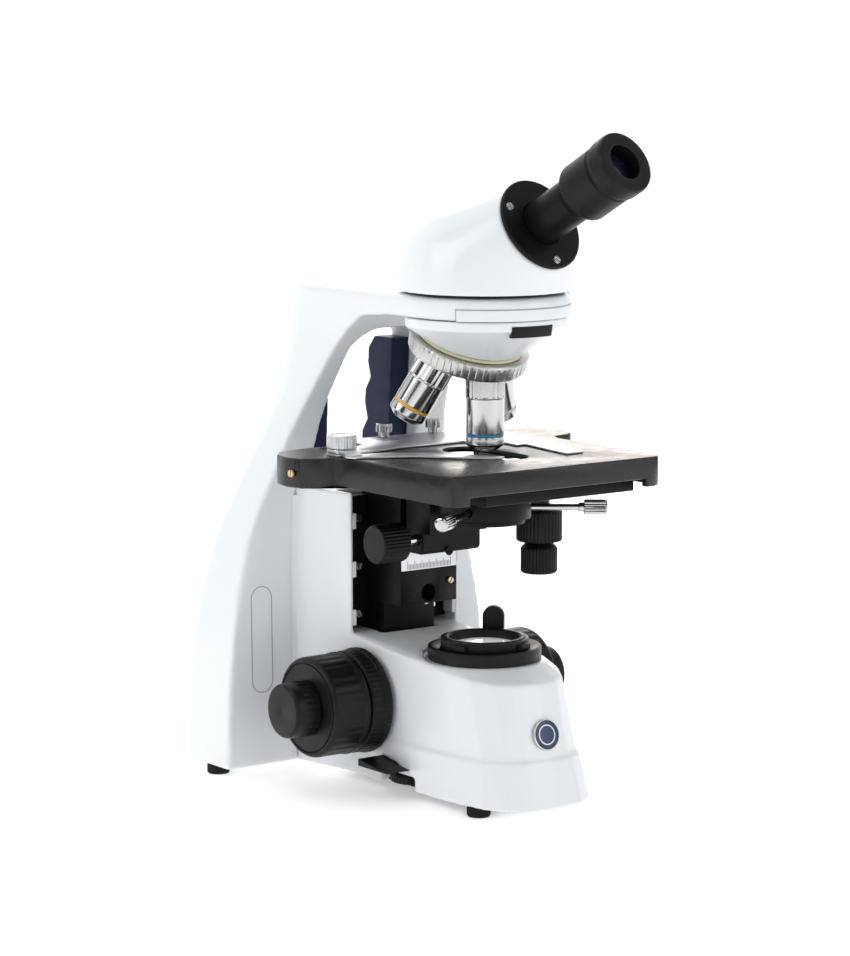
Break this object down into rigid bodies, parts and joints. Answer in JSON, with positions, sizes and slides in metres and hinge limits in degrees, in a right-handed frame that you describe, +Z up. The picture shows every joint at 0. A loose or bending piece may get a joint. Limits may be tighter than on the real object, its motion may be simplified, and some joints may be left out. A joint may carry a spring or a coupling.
{
  "type": "monocular laboratory microscope",
  "caption": "Monocular laboratory microscope with a tilted eyepiece head, revolving nosepiece, mechanical stage, condenser and lit base.",
  "frame": {"origin": "under the middle of the bounding box, on the table", "axes": "+Z up, +Y away from the user towards the back of the stand, +X to the user's right"},
  "size_m": [0.194, 0.2758, 0.3711],
  "materials": {
    "white_enamel": "smooth satin enamel, very light grey-white",
    "black_enamel": "satin black enamel",
    "knob_plastic": "fine matt black",
    "foot_rubber": "matt black rubber",
    "grip_rubber": "dark blue rubber",
    "steel": "turned steel",
    "bright_chrome": "bright plating",
    "satin_aluminium": "satin anodised",
    "yellow_brass": "machined brass",
    "optical_glass": "clear polished glass",
    "circuit_board": "green board"
  },
  "bodies": {
    "stand": {"base_casting": "white_enamel", "arm_casting": "white_enamel", "nose_housing": "white_enamel", "race_ring": "yellow_brass", "bottom_cover": "black_enamel", "rear_cover": "black_enamel", "power_inlet": "knob_plastic", "driver_board": "circuit_board", "foot_front_left": "foot_rubber", "foot_front_right": "foot_rubber", "foot_rear_left": "foot_rubber", "foot_rear_right": "foot_rubber", "grip_left": "grip_rubber", "grip_right": "grip_rubber", "rail_left": "black_enamel", "rail_right": "black_enamel", "lamp_collar": "knob_plastic", "lamp_module": "satin_aluminium"},
    "filter_holder": {"filter_ring": "knob_plastic", "field_lens": "optical_glass"},
    "brightness": {"brightness_wheel": "knob_plastic"},
    "power": {"power_switch": "knob_plastic"},
    "coarse": {"coarse_shaft": "steel", "coarse_knob_left": "knob_plastic", "coarse_knob_right": "knob_plastic"},
    "fine": {"fine_shaft": "steel", "fine_knob_left": "knob_plastic", "fine_knob_right": "knob_plastic"},
    "tension": {"tension_ring": "knob_plastic"},
    "carriage": {"stage_carriage": "black_enamel", "focus_rack": "yellow_brass", "stage_base": "black_enamel"},
    "stage_top": {"stage_plate": "black_enamel"},
    "y_knob": {"stage_y_knob": "knob_plastic"},
    "x_knob": {"stage_x_knob": "knob_plastic"},
    "holder": {"slide_holder": "satin_aluminium", "finger_knob": "satin_aluminium"},
    "finger": {"slide_finger": "satin_aluminium"},
    "holder_screw_a": {"holder_screw_left": "bright_chrome"},
    "holder_screw_b": {"holder_screw_right": "bright_chrome"},
    "condenser": {"condenser_bracket": "black_enamel", "condenser_body": "black_enamel", "condenser_lens": "optical_glass"},
    "condenser_drive": {"condenser_knob": "knob_plastic"},
    "iris": {"iris_lever": "black_enamel"},
    "centring_a": {"centring_screw_left": "bright_chrome"},
    "centring_b": {"centring_screw_right": "bright_chrome"},
    "nosepiece": {"turret": "steel", "objective_4x": "bright_chrome", "objective_10x": "bright_chrome", "objective_40x": "bright_chrome", "objective_100x": "bright_chrome"},
    "head": {"head_ring": "black_enamel", "head_shell": "white_enamel", "head_prism": "optical_glass", "tube_flange": "black_enamel", "eyepiece_tube": "black_enamel"},
    "ocular": {"eyepiece": "knob_plastic", "eye_lens": "optical_glass"},
    "head_lock": {"head_lock_screw": "bright_chrome"}
  },
  "joints": [
    {"name": "stage_focus", "type": "slide", "parent": "stand", "child": "carriage", "axis": [0, 0, 1], "range_m": [-0.0165, 0]},
    {"name": "coarse_focus", "type": "hinge", "parent": "stand", "child": "coarse", "pos_m": [0, 0.0335, 0.05], "axis": [1, 0, 0], "range_deg": [-136, 0]},
    {"name": "fine_focus", "type": "hinge", "parent": "stand", "child": "fine", "pos_m": [0, 0.0335, 0.05], "axis": [1, 0, 0], "range_deg": [-1800, 1800]},
    {"name": "tension", "type": "hinge", "parent": "stand", "child": "tension", "pos_m": [-0.0469, 0.0335, 0.05], "axis": [1, 0, 0], "range_deg": [0, 60]},
    {"name": "stage_y", "type": "slide", "parent": "carriage", "child": "stage_top", "axis": [0, 1, 0], "range_m": [-0.028, 0.02]},
    {"name": "stage_y_turn", "type": "hinge", "parent": "stage_top", "child": "y_knob", "pos_m": [0.06, 0.0005, 0.144], "axis": [0, 0, 1], "range_deg": [-230, 164]},
    {"name": "stage_x", "type": "slide", "parent": "stage_top", "child": "holder", "axis": [1, 0, 0], "range_m": [-0.044, 0.022]},
    {"name": "stage_x_turn", "type": "hinge", "parent": "stage_top", "child": "x_knob", "pos_m": [0.06, 0.0005, 0.122], "axis": [0, 0, 1], "range_deg": [-505, 253]},
    {"name": "finger_swing", "type": "hinge", "parent": "holder", "child": "finger", "pos_m": [-0.068, 0.0135, 0.194], "axis": [0, 0, 1], "range_deg": [-30, 0], "stiffness_Nm_per_rad": 0.05, "springref_deg": 17.19},
    {"name": "holder_screw_left_turn", "type": "hinge", "parent": "holder", "child": "holder_screw_a", "pos_m": [-0.0108, 0.0528, 0.199], "axis": [0, 0, 1], "range_deg": [-360, 360]},
    {"name": "holder_screw_right_turn", "type": "hinge", "parent": "holder", "child": "holder_screw_b", "pos_m": [0.0234, 0.0528, 0.199], "axis": [0, 0, 1], "range_deg": [-360, 360]},
    {"name": "condenser_focus", "type": "slide", "parent": "carriage", "child": "condenser", "axis": [0, 0, 1], "range_m": [-0.0221, 0]},
    {"name": "condenser_turn", "type": "hinge", "parent": "condenser", "child": "condenser_drive", "pos_m": [-0.037, 0.0095, 0.142], "axis": [1, 0, 0], "range_deg": [-254, 0]},
    {"name": "iris_swing", "type": "hinge", "parent": "condenser", "child": "iris", "pos_m": [0, -0.0265, 0.1562], "axis": [0, 0, 1], "range_deg": [-35, 35]},
    {"name": "centring_left_turn", "type": "hinge", "parent": "condenser", "child": "centring_a", "pos_m": [-0.03392, -0.0477, 0.163], "axis": [-0.848, -0.5299, 0], "range_deg": [-360, 360]},
    {"name": "centring_right_turn", "type": "hinge", "parent": "condenser", "child": "centring_b", "pos_m": [0.03195, -0.05057, 0.163], "axis": [0.7986, -0.6018, 0], "range_deg": [-360, 360]},
    {"name": "nosepiece_turn", "type": "hinge", "parent": "stand", "child": "nosepiece", "pos_m": [0, -0.00981, 0.24574], "axis": [0, 0.3746, -0.9272], "continuous": true},
    {"name": "head_turn", "type": "hinge", "parent": "stand", "child": "head", "pos_m": [0, -0.0265, 0.284], "axis": [0, 0, 1], "continuous": true},
    {"name": "eyepiece_draw", "type": "slide", "parent": "head", "child": "ocular", "axis": [0.1055, -0.8596, 0.5], "range_m": [0, 0.02]},
    {"name": "head_lock_turn", "type": "hinge", "parent": "stand", "child": "head_lock", "pos_m": [0.04, -0.0265, 0.276], "axis": [1, 0, 0], "range_deg": [-360, 360]},
    {"name": "filter_turn", "type": "hinge", "parent": "stand", "child": "filter_holder", "pos_m": [0, -0.0265, 0.088], "axis": [0, 0, 1], "range_deg": [-60, 0]},
    {"name": "brightness_turn", "type": "hinge", "parent": "stand", "child": "brightness", "pos_m": [-0.0255, 0.0015, 0.01], "axis": [0, 0, 1], "range_deg": [0, 270]},
    {"name": "power_rock", "type": "hinge", "parent": "stand", "child": "power", "pos_m": [0, 0.1305, 0.071], "axis": [1, 0, 0], "range_deg": [0, 16]}
  ],
  "couplings": [
    {"joint": "coarse_focus", "follows": "stage_focus", "rad_per_m": 142.86},
    {"joint": "stage_y_turn", "follows": "stage_y", "rad_per_m": 142.86},
    {"joint": "stage_x_turn", "follows": "stage_x", "rad_per_m": 200},
    {"joint": "condenser_turn", "follows": "condenser_focus", "rad_per_m": 200}
  ]
}
